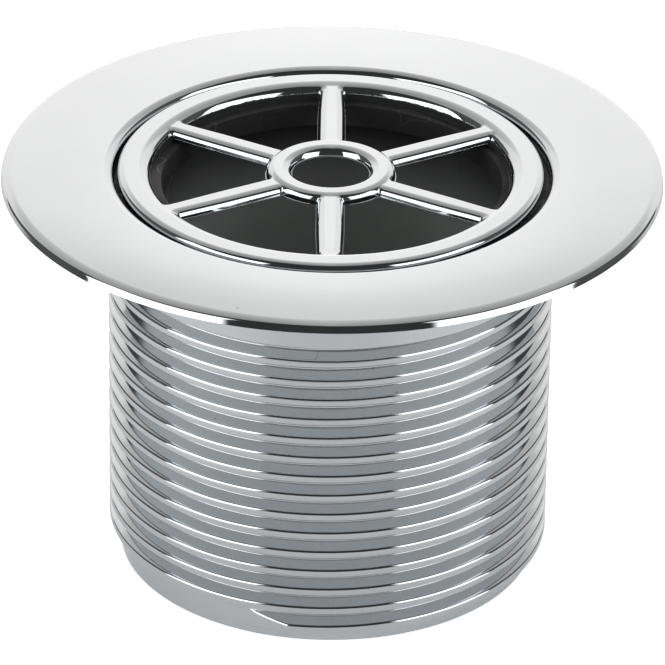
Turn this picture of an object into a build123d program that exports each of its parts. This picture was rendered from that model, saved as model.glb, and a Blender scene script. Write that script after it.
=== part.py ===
from build123d import *
import os
from math import cos, radians, sin, tan

# Shower waste: a flanged body with a threaded tail, and a loose grid that rests in its mouth.
# Millimetres. The origin is on the axis, in the plane where the flange seats on the tray.
# +Z points up out of the drain, and -Y is the front.

# Flange
flange_diameter = 70.8
flange_thickness = 1.2
flange_top_radius = 0.85      # rounding of the rim's upper edge
flange_rim_lean = 11.0        # lean of the rim's wall down to its sharp lower edge, in degrees
flange_root_fillet = 2.0      # between the flange's underside and the neck
mouth_radius = 1.1            # roll of the flange's inner edge, down into the grid's recess

# Thread, right-handed, with truncated crests
thread_diameter = 47.8
thread_pitch = 2.309          # eleven turns to the inch
thread_depth_share = 0.52     # depth of the thread, as a part of its pitch
thread_crest_share = 0.3725   # width of the flat crest, as a part of the pitch
thread_half_angle = 27.5      # slope of each flank, in degrees
thread_start_angle = -111.5   # where the ridge begins at the tail's end, in degrees from +X
thread_lead_in = 11.5         # arc over which the ridge rises to its full height, in degrees
plain_end_length = 0.9        # plain tail below the first turn

# Neck and tail
neck_step = 0.05              # the neck stands this far proud of the thread's crests
neck_length = 8.0             # plain neck, from the seat to the top of the thread
tail_length = 44.3            # from the seat to the tail's end
tail_wall = 2.4               # from the thread's root to the bore
tail_end_chamfer = 0.3

# Ledge that carries the grid, and the recess above it
mouth_wall = 0.6              # between the grid's recess and the neck's outside
ledge_width = 2.1             # the ledge reaches this far in from the bore
ledge_thickness = 2.7
ledge_under_fillet = 0.8      # between the ledge's underside and the bore
ledge_edge_chamfer = 0.3      # the ledge's two inner edges

# Grid
grid_clearance = 0.5          # radial room between the grid and its recess
grid_thickness = 1.65
grid_off_centre = 0.15        # the loose grid lies this far to the left in its clearance
ring_width = 3.0              # at the ring's upper face
ring_edge_radius = 0.8        # rounding of the ring's outer upper edge
hub_diameter = 13.6           # at the hub's upper face
hub_hole_diameter = 9.0       # at the hub's upper face
hub_hole_radius = 0.45        # rounding of the hub hole's upper edge
spoke_count = 6
first_spoke_angle = 90.0      # where the first spoke points, in degrees from +X
spoke_width = 2.2             # at the spokes' upper faces
spoke_drop = 0.2              # the spokes lie this far below the ring and the hub
spoke_thickness = 1.0
band_inset = 0.55             # the ring's and the hub's raised bands stand this far back from the windows
spoke_edge_radius = 0.7       # rounding of the spokes' upper edges
window_corner_radius = 0.7    # plan radius where a spoke meets the ring or the hub
opening_draft = 20.0          # slope of the walls of the windows and the hub hole, in degrees
pocket_margin = 0.15          # the pocket under the spokes stops this far inside the ring

# Sizes that follow from the ones above
FULL_TURN = 360.0
EDGE_SHARE = 0.7              # the largest part of a wall that a rounded or cut edge may take
ROOT_BITE_SHARE = 0.08        # how far the ridge reaches into the tail, as a part of its depth
thread_depth = thread_depth_share * thread_pitch
thread_crest = thread_crest_share * thread_pitch
flank_slope = tan(radians(thread_half_angle))
flange_r = flange_diameter / 2
crest_r = thread_diameter / 2
root_r = crest_r - thread_depth
neck_r = crest_r + neck_step
bore_r = root_r - tail_wall
ledge_r = bore_r - ledge_width
recess_r = neck_r - mouth_wall
grid_r = recess_r - grid_clearance
ledge_z = flange_thickness - grid_thickness
ledge_under_z = ledge_z - ledge_thickness
ring_inner_r = grid_r - ring_width
hub_r = hub_diameter / 2
hub_hole_r = hub_hole_diameter / 2
spoke_top_z = flange_thickness - spoke_drop
spoke_under_z = spoke_top_z - spoke_thickness
window_depth = spoke_top_z - ledge_z
pocket_r = ring_inner_r - window_depth * tan(radians(opening_draft)) - pocket_margin


def round_corner(section, corner, radius):
    """Round the section's corner that lies at the given point."""
    vertex = section.vertices().sort_by_distance(corner)[0]
    return fillet(vertex, radius)


def body_section():
    """Half section of the flange, neck, tail and ledge, as radius and height."""
    mouth = (recess_r, flange_thickness)
    rim_top = (flange_r - flange_thickness * tan(radians(flange_rim_lean)), flange_thickness)
    flange_root = (neck_r, 0)
    under_corner = (bore_r, ledge_under_z)
    neck_end_z = -neck_length
    run_out_z = neck_end_z - (neck_r - root_r) * flank_slope
    outline = Polyline(
        (ledge_r, ledge_z - ledge_edge_chamfer),
        (ledge_r + ledge_edge_chamfer, ledge_z),
        (recess_r, ledge_z),
        mouth,
        rim_top,
        (flange_r, 0),
        flange_root,
        (neck_r, neck_end_z),
        (root_r, run_out_z),
        (root_r, tail_end_chamfer - tail_length),
        (root_r - tail_end_chamfer, -tail_length),
        (bore_r + tail_end_chamfer, -tail_length),
        (bore_r, tail_end_chamfer - tail_length),
        under_corner,
        (ledge_r + ledge_edge_chamfer, ledge_under_z),
        (ledge_r, ledge_under_z + ledge_edge_chamfer),
        close=True,
    )
    section = make_face(outline)
    section = round_corner(section, mouth, min(mouth_radius, EDGE_SHARE * grid_thickness))
    section = round_corner(section, rim_top, min(flange_top_radius, EDGE_SHARE * flange_thickness))
    section = round_corner(section, flange_root, flange_root_fillet)
    section = round_corner(section, under_corner, ledge_under_fillet)
    return Plane.XZ * section


def thread_ridge():
    """Helical ridge of the thread, rooted in the tail and run up into the neck."""
    root_bite = thread_depth * ROOT_BITE_SHARE
    inner_r = root_r - root_bite
    half_crest = thread_crest / 2
    half_root = half_crest + thread_depth * flank_slope
    half_inner = half_crest + (thread_depth + root_bite) * flank_slope
    start_z = -tail_length + plain_end_length + half_root
    end_z = -neck_length + half_root
    corners = [
        (inner_r, -half_inner),
        (crest_r, -half_crest),
        (crest_r, half_crest),
        (inner_r, half_inner),
    ]
    edges = [
        Edge.make_helix(thread_pitch, end_z - start_z, radius, center=(0, 0, start_z + z))
        for radius, z in corners
    ]
    sides = [
        Face.make_surface_from_curves(edge, following)
        for edge, following in zip(edges, edges[1:] + edges[:1])
    ]
    ends = [
        Face(Wire.make_polygon([edge @ end for edge in edges], close=True))
        for end in (0, 1)
    ]
    ridge = Solid(Shell(sides + ends)) - lead_in_cut(start_z)
    return Rot(0, 0, thread_start_angle) * ridge


def lead_in_cut(start_z):
    """Block that slants off the start of the ridge, from its root to its crest."""
    tip = Vector(root_r, 0)
    full_angle = radians(thread_lead_in)
    full = Vector(crest_r * cos(full_angle), crest_r * sin(full_angle))
    slant = Plane(origin=(tip.X, tip.Y, start_z), x_dir=full - tip, z_dir=(0, 0, 1))
    reach = (full - tip).length
    block = Box(2 * reach, 2 * thread_depth, thread_pitch, align=(Align.CENTER, Align.MAX, Align.CENTER))
    return slant * Pos(reach / 2, 0, 0) * block


def waste_body():
    """Flange, neck and threaded tail in one piece."""
    return revolve(body_section(), Axis.Z) + thread_ridge()


def grid_windows():
    """Plan of the openings between the hub, the spokes and the ring."""
    spoke = Rectangle(2 * ring_inner_r, spoke_width)
    step = FULL_TURN / spoke_count
    spokes = [
        Rot(0, 0, first_spoke_angle + index * step) * Pos(ring_inner_r, 0) * spoke
        for index in range(spoke_count)
    ]
    windows = Circle(ring_inner_r) - Circle(hub_r) - spokes
    return fillet(windows.vertices(), window_corner_radius)


def tapered_opening(plan, depth, top_z):
    """Opening that narrows downwards from its plan at the given height."""
    return Pos(0, 0, top_z) * extrude(plan, depth, dir=(0, 0, -1), taper=opening_draft)


def grid_plate():
    """Plate with the windows, up to the spokes' upper faces, and a pocket under the spokes."""
    plate = Pos(0, 0, ledge_z) * extrude(Circle(grid_r), window_depth)
    plate -= [tapered_opening(face, window_depth, spoke_top_z) for face in grid_windows().faces()]
    window_rims = plate.faces().sort_by(Axis.Z)[-1].inner_wires()
    plate = plate.fillet(spoke_edge_radius, window_rims.edges())
    under_pocket = Pos(0, 0, ledge_z) * extrude(Circle(pocket_r), spoke_under_z - ledge_z)
    return plate - under_pocket


def raised_band(plan):
    """Band of the given plan that stands above the spokes, flush with the flange."""
    return Pos(0, 0, spoke_top_z) * extrude(plan, spoke_drop)


def upper_edge(piece, circle_r):
    """The circular edge of the given size on the piece's upper faces."""
    circles = piece.edges().filter_by(GeomType.CIRCLE).group_by(Axis.Z)[-1]
    return circles.sort_by(lambda circle: abs(circle.radius - circle_r))[0]


def grid():
    """Round grid with a hub and spokes, resting on the ledge flush with the flange."""
    ring_band_r = ring_inner_r + band_inset
    hub_band_r = hub_r - band_inset
    band_chamfer = EDGE_SHARE * spoke_drop
    ring_band = raised_band(Circle(grid_r) - Circle(ring_band_r))
    hub_band = raised_band(Circle(hub_band_r))
    piece = grid_plate() + ring_band + hub_band
    piece -= tapered_opening(Circle(hub_hole_r), grid_thickness, flange_thickness)
    piece = fillet(upper_edge(piece, grid_r), min(ring_edge_radius, EDGE_SHARE * grid_thickness))
    piece = chamfer(upper_edge(piece, ring_band_r), band_chamfer)
    piece = chamfer(upper_edge(piece, hub_band_r), band_chamfer)
    piece = fillet(upper_edge(piece, hub_hole_r), min(hub_hole_radius, EDGE_SHARE * spoke_thickness))
    return Pos(-grid_off_centre, 0, 0) * piece


os.makedirs("parts", exist_ok=True)
for name, piece in (("waste_body", waste_body()), ("grid", grid())):
    export_step(piece, f"parts/{name}.step")
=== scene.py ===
from math import atan2, cos, pi, radians, sin, sqrt, tan

import bpy
import numpy as np
from bpy.props import FloatProperty, FloatVectorProperty, IntProperty, PointerProperty
from bpy.types import Operator, Panel, PropertyGroup
from mathutils import Matrix, Vector


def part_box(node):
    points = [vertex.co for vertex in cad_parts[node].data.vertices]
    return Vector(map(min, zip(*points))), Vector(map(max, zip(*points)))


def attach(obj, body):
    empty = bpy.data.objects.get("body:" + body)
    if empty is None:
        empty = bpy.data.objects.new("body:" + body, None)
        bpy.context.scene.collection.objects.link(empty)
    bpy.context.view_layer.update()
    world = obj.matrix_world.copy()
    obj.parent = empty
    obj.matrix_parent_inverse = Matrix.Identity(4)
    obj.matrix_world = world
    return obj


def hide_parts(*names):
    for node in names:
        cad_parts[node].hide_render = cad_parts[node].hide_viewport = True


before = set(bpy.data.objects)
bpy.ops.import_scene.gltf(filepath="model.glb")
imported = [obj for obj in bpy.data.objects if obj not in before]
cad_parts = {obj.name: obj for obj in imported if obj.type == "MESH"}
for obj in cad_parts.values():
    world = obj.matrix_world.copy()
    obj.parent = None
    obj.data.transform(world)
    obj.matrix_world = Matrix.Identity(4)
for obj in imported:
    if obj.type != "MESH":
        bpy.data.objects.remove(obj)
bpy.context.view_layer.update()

bl_info = {
    "name": "Shower waste",
    "version": (1, 0, 0),
    "blender": (4, 5, 0),
    "location": "3D View > Sidebar > Shower Waste",
    "description": "Plated shower waste: a body with its thread, a loose spoked grid, and a studio",
    "category": "Object",
}

BODY = "root"
MM = 0.001
TURN = 2 * pi
WELD = 1e-7                   # metres: points that round to the same multiple become one vertex
SENSOR_WIDTH = 36.0           # millimetres
NEAR_CLIP, FAR_CLIP = 0.01, 100.0
WHITE = (1.0, 1.0, 1.0, 1.0)
NOISE_MIDDLE = 0.5
FLOOR_POINTS = 25             # along each side of the floor

# Points along the parts of a window's edge
RING_STEPS, CORNER_STEPS, SPOKE_STEPS, HUB_STEPS = 29, 25, 25, 15
BORDER_STEPS = 13             # rows from a window's edge to the border of its sector

# Light of the sweep behind the waste: degrees round from the camera or up from level, and the level there
SWEEP_ROUND = ((120, 0.66), (136, 0.69), (147, 0.75), (155, 0.8), (170, 0.86), (176, 0.915), (180, 1.0))
SWEEP_UP = ((0, 0.75), (20, 0.75), (24, 0.73), (26.5, 0.705), (28, 0.68), (28.8, 0.64), (29.7, 0.58),
            (31, 0.525), (34, 0.475), (45, 0.4), (60, 0.35), (80, 0.3))
SWEEP_TINT = (1.035, 1.0, 0.975)


def length(name, description, millimetres):
    """A length property in metres, given its default in millimetres."""
    return FloatProperty(name=name, description=description, default=millimetres * MM, unit="LENGTH",
                         precision=5)


def angle(name, description, degrees):
    """An angle property, given its default in degrees."""
    return FloatProperty(name=name, description=description, default=radians(degrees), unit="ROTATION")


def share(name, description, default):
    """A plain factor property."""
    return FloatProperty(name=name, description=description, default=default)


def colour(name, description, default):
    """A colour property without alpha."""
    return FloatVectorProperty(name=name, description=description, default=default, subtype="COLOR", size=3)


def frame_value(node, axis, end):
    """One coordinate of a node's box in millimetres: end 0 is the low side and 1 the high side."""
    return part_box(node)[end][axis] / MM


class WasteBodySettings(PropertyGroup):
    """Sizes of the flange, neck, thread, tail and ledge."""

    flange_radius: length("Flange radius", "Outer radius of the flange", frame_value("waste_body", 0, 1))
    flange_thickness: length("Flange thickness", "From the seat to the flange's upper face",
                             frame_value("waste_body", 2, 1))
    rim_top_radius: length("Rim top radius", "Tight rounding of the rim's upper edge", 0.45)
    rim_shoulder_radius: length("Rim shoulder radius", "Broad rounding from there to the upper face", 1.9)
    rim_shoulder_fall: angle("Rim shoulder fall", "Slope where the two roundings meet", 28.0)
    rim_under_radius: length("Rim under radius", "Rounding of the rim's lower edge", 0.04)
    rim_draft: angle("Rim draft", "Lean of the rim's wall", 11.0)
    root_fillet: length("Flange root fillet", "Between the flange's underside and the neck", 2.0)
    mouth_radius: length("Mouth radius", "Roll of the flange's inner edge", 1.1)
    rim_fall: angle("Rim fall", "Slope of the flange's upper face at the rim", 1.7)
    mouth_fall: angle("Mouth fall", "Slope of the flange's upper face at the mouth", 0.5)
    crown_margin: length("Crown margin", "How far the crown stops short of the rim and the mouth", 1.2)
    neck_radius: length("Neck radius", "Outer radius of the plain neck", 23.95)
    neck_length: length("Neck length", "From the seat to the top of the thread", 8.0)
    neck_edge: length("Neck edge", "Rounding of the neck's lower edge", 0.08)
    tail_length: length("Tail length", "From the seat to the tail's end", -frame_value("waste_body", 2, 0))
    tail_edge: length("Tail edge", "Rounding of the tail's end", 0.3)
    bore_radius: length("Bore radius", "Radius of the waterway", 20.3)
    recess_radius: length("Recess radius", "Radius of the grid's recess", 23.35)
    recess_edge: length("Recess edge", "Rounding at the foot of the recess", 0.15)
    ledge_radius: length("Ledge radius", "Inner radius of the ledge under the grid", 18.2)
    ledge_depth: length("Ledge depth", "From the flange's upper face to the ledge", 1.65)
    ledge_thickness: length("Ledge thickness", "Thickness of the ledge", 2.7)
    ledge_edge: length("Ledge edge", "Rounding of the ledge's upper inner edge", 0.25)
    ledge_under_edge: length("Ledge under edge", "Rounding of the ledge's lower inner edge", 0.2)
    ledge_fillet: length("Ledge fillet", "Between the ledge's underside and the bore", 0.8)
    crest_radius: length("Crest radius", "Radius over the thread's crests", 23.9)
    thread_pitch: length("Pitch", "Rise of the thread in one turn", 2.309)
    thread_depth: length("Thread depth", "From crest to root", 1.2)
    crest_width: length("Crest width", "Width of the flat crest", 0.86)
    crest_edge: length("Crest edge", "Rounding of the crest's edges", 0.35)
    crest_barrel: angle("Crest barrel", "Tilt of the crest at its upper edge, with half of it below", 9.0)
    root_edge: length("Root edge", "Rounding at the foot of the flanks", 0.07)
    flank_slope: angle("Flank slope", "Slope of each flank from level", 27.5)
    thread_start: angle("Thread start", "Where the ridge begins, from +X", -111.5)
    lead_in: angle("Lead-in", "Arc over which the ridge rises", 11.5)
    tip_share: share("Tip share", "Part of the lead-in over which the ridge's roundings grow", 1 / 6)
    plain_end: length("Plain end", "Plain tail below the first turn", 0.9)
    columns: IntProperty(name="Columns", description="Facets round the body", default=288, min=48)


class GridSettings(PropertyGroup):
    """Sizes of the loose grid."""

    radius: length("Radius", "Outer radius of the grid", 22.85)
    thickness: length("Thickness", "From the ledge to the ring's upper face", 1.65)
    offset: length("Offset", "How far the grid lies to the left", 0.15)
    ring_width: length("Ring width", "Width of the ring at its upper face", 3.45)
    ring_edge: length("Ring edge", "Rounding of the ring's outer upper edge", 0.8)
    ring_under_edge: length("Ring under edge", "Rounding of the ring's outer lower edge", 0.1)
    ring_inner_edge: length("Ring inner edge", "Rounding of the ring's edge at the windows", 1.4)
    ring_inset: length("Ring inset", "From a window to the level part of the ring", 1.3)
    ring_draft: angle("Ring draft", "Slope of the ring's wall from upright", 10.0)
    hub_radius: length("Hub radius", "Outer radius of the hub at its upper face", 6.8)
    hub_edge: length("Hub edge", "Rounding of the hub's edge at the windows", 0.85)
    hub_inset: length("Hub inset", "From a window to the level part of the hub", 1.0)
    hub_draft: angle("Hub draft", "Slope of the hub's outer wall from upright", 8.0)
    hole_radius: length("Hole radius", "Radius of the hub hole at its upper face", 4.5)
    hole_edge: length("Hole edge", "Rounding of the hub hole's upper edge", 1.0)
    hole_foot: length("Hole foot", "From the hub's underside up to the foot of the hole's wall", 0.3)
    hole_draft: angle("Hole draft", "Slope of the hub hole's wall from upright", 20.0)
    spoke_width: length("Spoke width", "Width of a spoke at its upper face", 2.4)
    spoke_drop: length("Spoke drop", "How far the spokes lie below the ring", 0.2)
    spoke_thickness: length("Spoke thickness", "Thickness of a spoke", 1.0)
    spoke_edge: length("Spoke edge", "Rounding of the spokes' upper edges", 0.9)
    spoke_draft: angle("Spoke draft", "Slope of the spokes' walls from upright", 17.0)
    steep_fade: length("Steep fade", "Length over which a spoke's wall takes on its own slope", 6.0)
    step_start: length("Step start", "From the ring's foot in to the step of the underside", 0.4)
    step_width: length("Step width", "Width of that step", 0.35)
    lip_width: length("Lip width", "How far the moulding's lip stands out at the foot of a wall", 0.05)
    lip_height: length("Lip height", "Thickness of that lip", 0.06)
    lip_edge: length("Lip edge", "Rounding of that lip's edges", 0.012)
    crease: length("Crease", "Softness of the creases where the spokes meet the ring and the hub", 0.12)
    corner_radius: length("Corner radius", "Plan radius of the windows' corners", 0.42)
    spokes: IntProperty(name="Spokes", description="Number of spokes", default=6, min=3)


class FinishSettings(PropertyGroup):
    """Colours and gloss of the finishes."""

    chrome_colour: colour("Chrome", "Colour of the plating", (0.575, 0.6, 0.618))
    chrome_roughness: share("Chrome roughness", "Blur of the plating's reflections", 0.06)
    chrome_bump: share("Chrome bump", "Strength of the waves in the plating", 0.05)
    frayed_roughness: share("Frayed roughness", "Blur where the plating frays", 0.55)
    # The inside's two colours are painted light and shade: the bore's paler colour is painted light low down,
    # where light comes in from the open tail, and the ledge's dark colour is painted shade high up, also put
    # on the foot of the ring's wall.
    inside_lit_colour: colour("Bore", "Colour of the unplated bore", (0.34, 0.355, 0.345))
    inside_shade_colour: colour("Ledge", "Colour of the unplated ledge and of the foot of the ring's wall",
                         (0.034, 0.036, 0.035))
    inside_roughness: share("Inside roughness", "Blur of the inside's reflections", 0.45)
    inside_bump: share("Inside bump", "Strength of the waves in the unplated inside", 0.1)
    inside_shine: share("Inside shine", "Strength of the inside's reflections", 0.12)
    matt_shine: share("Matt shine", "The same for the bare wall of the ring and for the floor", 0.1)
    wave_depth: length("Wave depth", "Full height of the waves in a skin", 0.2)
    floor_colour: colour("Floor", "Colour of the floor", (0.9, 0.9, 0.9))
    floor_roughness: share("Floor roughness", "Blur of the floor's reflections", 0.9)


class StageSettings(PropertyGroup):
    """Camera and light. Angles round are counted from the camera's side, and angles up from level."""

    camera_elevation: angle("Camera elevation", "Height of the camera above level", 27.04)
    camera_distance: length("Camera distance", "From the camera to the axis at the mouth", 682.3)
    camera_rise: length("Camera rise", "Height of the camera's own origin above the seat", 0.94)
    camera_roll: angle("Camera roll", "Turn of the camera about its own line of sight", 0.83)
    camera_aim: FloatVectorProperty(name="Camera aim", description="Point that the camera looks at",
                                    default=(0.28 * MM, 0.0, -19.02 * MM), subtype="XYZ", unit="LENGTH")
    camera_lens: FloatProperty(name="Lens", description="Focal length in millimetres", default=345.61)
    floor_reach: length("Floor reach", "How far the floor goes on all sides", 6000.0)
    floor_front: length("Floor front", "How far in front the floor shows in reflections", 300.0)
    floor_side: length("Floor side", "How far to each side the floor shows in reflections", 145.0)
    floor_fade: length("Floor fade", "Softness of the edges of that part", 20.0)
    floor_glow: share("Floor glow", "Light that the floor gives off by itself", 0.26)
    floor_camera_glow: share("Floor camera glow", "What the camera sees beyond that", 0.5)
    # Painted light on the floor: painted shade far in front, painted light at the sides and a painted shadow
    # of the waste behind it.
    floor_front_shade_level: share("Floor front level", "Level of the floor far in front", 0.3)
    floor_side_light_level: share("Floor side level", "Level of the floor at the sides", 1.13)
    floor_back_shadow_level: share("Floor back level", "Level of the floor behind the waste", 0.9)
    sweep_edge: angle("Sweep edge", "Where the sweep begins, round from the camera", 138.5)
    sweep_soft: angle("Sweep softness", "Half the softness of that edge", 2.5)
    sweep_flare: angle("Sweep flare", "Height above which the sweep grows wider", 12.0)
    sweep_gain: share("Sweep gain", "Strength of the sweep's light", 2.0)
    ceiling_edge: angle("Ceiling edge", "Height where the ceiling begins on all sides", 80.0)
    ceiling_soft: angle("Ceiling softness", "Half the softness of that edge", 4.0)
    panel_near: angle("Panel near edge", "Where a panel begins, round from the camera", 35.0)
    panel_far: angle("Panel far edge", "Where a panel ends, round from the camera", 87.0)
    panel_top: angle("Panel top", "Height where a panel ends", 40.0)
    panel_soft: angle("Panel softness", "Half the softness of a panel's near edge and top", 2.0)
    panel_far_soft: angle("Panel far softness", "Half the softness of a panel's far edge", 0.5)
    panel_light: colour("Panel light", "Light of a panel", (2.6, 2.6, 2.6))
    dark_front: colour("Dark front", "Light of the dark studio on the camera's side", (0.045, 0.046, 0.045))
    dark_side: colour("Dark side", "Light of the dark studio beside the sweep", (0.11, 0.112, 0.11))
    dark_turn: angle("Dark turn", "Where the one turns into the other", 90.0)
    dark_soft: angle("Dark softness", "Half the softness of that turn", 10.0)


def fillet_rows(corners, arrive, leave, radii, steps):
    """Rows of a profile with rounded corners, and their normals.

    Each corner is the meeting of two straight runs, the one that arrives with heading a and the one that
    leaves with heading b. A rounding of radius R starts R tan(turn / 2) before the corner. At the angle q
    from there its point is start + R (sin q) a + R (1 - cos q) m, where m is square to a on the side that
    the profile turns to. The normal is the heading at that point turned a quarter turn clockwise.
    corners is an array of (corner, column, 2), radii of (corner, column), and a heading may differ by column.
    """
    rows, normals = [], []
    for corner, a, b, radius, count in zip(corners, arrive, leave, radii, steps):
        a, b = np.atleast_2d(a), np.atleast_2d(b)
        turn = np.arctan2(a[:, 0] * b[:, 1] - a[:, 1] * b[:, 0], (a * b).sum(axis=1))[:, None]
        m = np.sign(turn) * np.stack((-a[:, 1], a[:, 0]), axis=1)
        q = np.linspace(0.0, 1.0, count + 1)[:, None, None] * np.abs(turn)
        reach = (np.sin(q) - np.tan(np.abs(turn) / 2)) * a + (1 - np.cos(q)) * m
        rows.append(corner[None] + reach * radius[None, :, None])
        heading = np.cos(q) * a + np.sin(q) * m
        normal = np.stack((heading[..., 1], -heading[..., 0]), axis=-1)
        normals.append(np.broadcast_to(normal, rows[-1].shape))
    return np.concatenate(rows), np.concatenate(normals)


def turned_rows(first, corners, last):
    """Rows of a turned profile between two end points, their normals, and the number of each row's corner.

    A corner is given as its radius from the axis, its height, its rounding's radius and that one's steps.
    """
    radius, height, rounding, steps = zip(*corners)
    points = np.array((first, *zip(radius, height), last))
    headings = unit(np.diff(points, axis=0))
    radii = np.array(rounding)[:, None]
    rows, normals = fillet_rows(points[1:-1, None], headings[:-1], headings[1:], radii, steps)
    return rows[:, 0], normals[:, 0], np.repeat(np.arange(len(steps)), np.array(steps) + 1)


def strip_corners(rows, columns, closed_rows=False, closed_columns=False):
    """Corner numbers of the triangles of a grid of rows and columns, two to a cell.

    Looking along a row with the next row above it, a triangle runs along the row first and then up.
    """
    row = np.arange(rows if closed_rows else rows - 1)
    column = np.arange(columns if closed_columns else columns - 1)
    here, along = column[None, :], ((column + 1) % columns)[None, :]
    low, high = row[:, None] * columns, ((row + 1) % rows)[:, None] * columns
    first = np.stack((low + here, low + along, high + along), axis=-1)
    second = np.stack((low + here, high + along, high + here), axis=-1)
    return np.concatenate((first.reshape(-1, 3), second.reshape(-1, 3)))


def build_mesh(name, points, normals, triangles, finishes, finish_of):
    """Mesh object from grids of points with their normals.

    Points that round to the same place become one vertex, triangles that lose a corner by it are dropped, and
    each remaining corner keeps the normal of its own grid point.
    """
    places = np.round(points / WELD).astype(np.int64)
    _, first, joined = np.unique(places, axis=0, return_index=True, return_inverse=True)
    welded = joined.reshape(-1)[triangles]
    whole = (welded != np.roll(welded, 1, axis=1)).all(axis=1)
    welded, corners, finish_of = welded[whole], triangles[whole], finish_of[whole]
    mesh = bpy.data.meshes.new(name)
    mesh.vertices.add(len(first))
    mesh.vertices.foreach_set("co", points[first].astype(np.float32).ravel())
    mesh.loops.add(welded.size)
    mesh.loops.foreach_set("vertex_index", welded.astype(np.int32).ravel())
    mesh.polygons.add(len(welded))
    mesh.polygons.foreach_set("loop_start", np.arange(0, welded.size, 3, dtype=np.int32))
    mesh.polygons.foreach_set("material_index", finish_of.astype(np.int32))
    mesh.polygons.foreach_set("use_smooth", np.ones(len(welded), dtype=bool))
    mesh.update(calc_edges=True)
    mesh.validate()
    mesh.normals_split_custom_set(normals[corners.ravel()].tolist())
    for finish in finishes:
        mesh.materials.append(finish)
    piece = bpy.data.objects.new(name, mesh)
    bpy.context.scene.collection.objects.link(piece)
    return piece


def unit(vectors):
    """The vectors with their lengths made one."""
    return vectors / np.linalg.norm(vectors, axis=-1, keepdims=True)


def around(radius, height, theta):
    """Points at the given radius, height and angle about the axis."""
    radius, height, theta = np.broadcast_arrays(radius, height, theta)
    return np.stack((radius * np.cos(theta), radius * np.sin(theta), height), axis=-1)


def round_normals(outward, along, upward, theta):
    """Unit normals from their parts away from the axis, round it and up."""
    outward, along, upward, theta = np.broadcast_arrays(outward, along, upward, theta)
    x = outward * np.cos(theta) - along * np.sin(theta)
    y = outward * np.sin(theta) + along * np.cos(theta)
    return unit(np.stack((x, y, upward), axis=-1))


def thread_rows(s, phase):
    """Radius, height and normal parts of the thread's rows, for each column, and the line where they end.

    The profile of one turn has a foot, a crest edge, a crest edge and a foot, all rounded. It climbs one
    pitch in a turn: height = start + pitch (turn number + phase). The ridge's height over the root is nil
    before the thread's start, grows in proportion to the phase over the lead-in, and then is the thread's
    depth. Rows below the plain end stay on its upper edge. Rows above the run-out stay on the line where the
    last ridge's upper flank, or the root, meets the neck's lower cone.
    """
    slope = tan(s.flank_slope)
    half_foot = s.crest_width / 2 + s.thread_depth * slope
    root_r = s.crest_radius - s.thread_depth
    start_z = -s.tail_length + s.plain_end + half_foot
    run_out_z = -s.neck_length - (s.neck_radius - root_r) * slope
    low_z = -s.tail_length + 2 * s.tail_edge

    out = np.array((cos(s.flank_slope), sin(s.flank_slope)))
    up = np.array((0.0, 1.0))
    back = out * (-1, 1)
    crest_low = np.array((sin(s.crest_barrel / 2), cos(s.crest_barrel / 2)))
    crest_high = np.array((-sin(s.crest_barrel), cos(s.crest_barrel)))
    arrive, leave = (up, out, crest_high, back), (out, crest_low, back, up)
    is_crest = np.array((0.0, 1.0, 1.0, 0.0))
    side = np.array((-1.0, -1.0, 1.0, 1.0))
    steps = (2, 2, 5, 3)
    radii = np.where(is_crest > 0, s.crest_edge, s.root_edge)
    reach, normal = fillet_rows(np.zeros((4, 1, 2)), arrive, leave, radii[:, None], steps)
    corner = np.repeat(np.arange(4), np.array(steps) + 1)

    first_turn = -2
    last_turn = int(np.ceil((run_out_z + half_foot - start_z) / s.thread_pitch))
    turns = np.arange(first_turn, last_turn + 1)
    turned = turns[:, None, None] + phase
    climb = np.clip(turned * TURN / s.lead_in, 0.0, 1.0)
    ridge = s.thread_depth * climb
    growing = np.where((climb > 0) & (climb < 1), s.thread_depth / s.lead_in, 0.0)
    soften = np.clip(climb / s.tip_share, 0.0, 1.0)

    crest, sign = is_crest[corner][:, None], side[corner][:, None]
    radius = root_r + crest * ridge + soften * reach[..., 0]
    middle_z = start_z + s.thread_pitch * turned
    height = middle_z + sign * (half_foot - crest * ridge * slope) + soften * reach[..., 1]
    outward = 1.0 + soften * (normal[..., 0] - 1.0)
    upward = soften * normal[..., 1]
    rise = s.thread_pitch / TURN - sign * crest * growing * slope
    along = -(upward * rise + outward * crest * growing) / radius

    last_foot = start_z + half_foot + s.thread_pitch * phase
    last_foot += s.thread_pitch * (np.ceil((run_out_z + 2 * half_foot - last_foot) / s.thread_pitch) - 1)
    reach_out = np.clip((last_foot - run_out_z) / (2 * slope), 0.0, s.thread_depth)
    top_r, top_z = root_r + reach_out, run_out_z + reach_out * slope

    values = (radius, height, outward, along, upward)
    radius, height, *parts = (value.reshape(-1, len(phase)) for value in values)
    above = height > top_z
    radius = np.where(above, top_r, radius)
    height = np.where(above, top_z, np.maximum(height, low_z))
    return radius, height, parts, top_r, top_z


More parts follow.
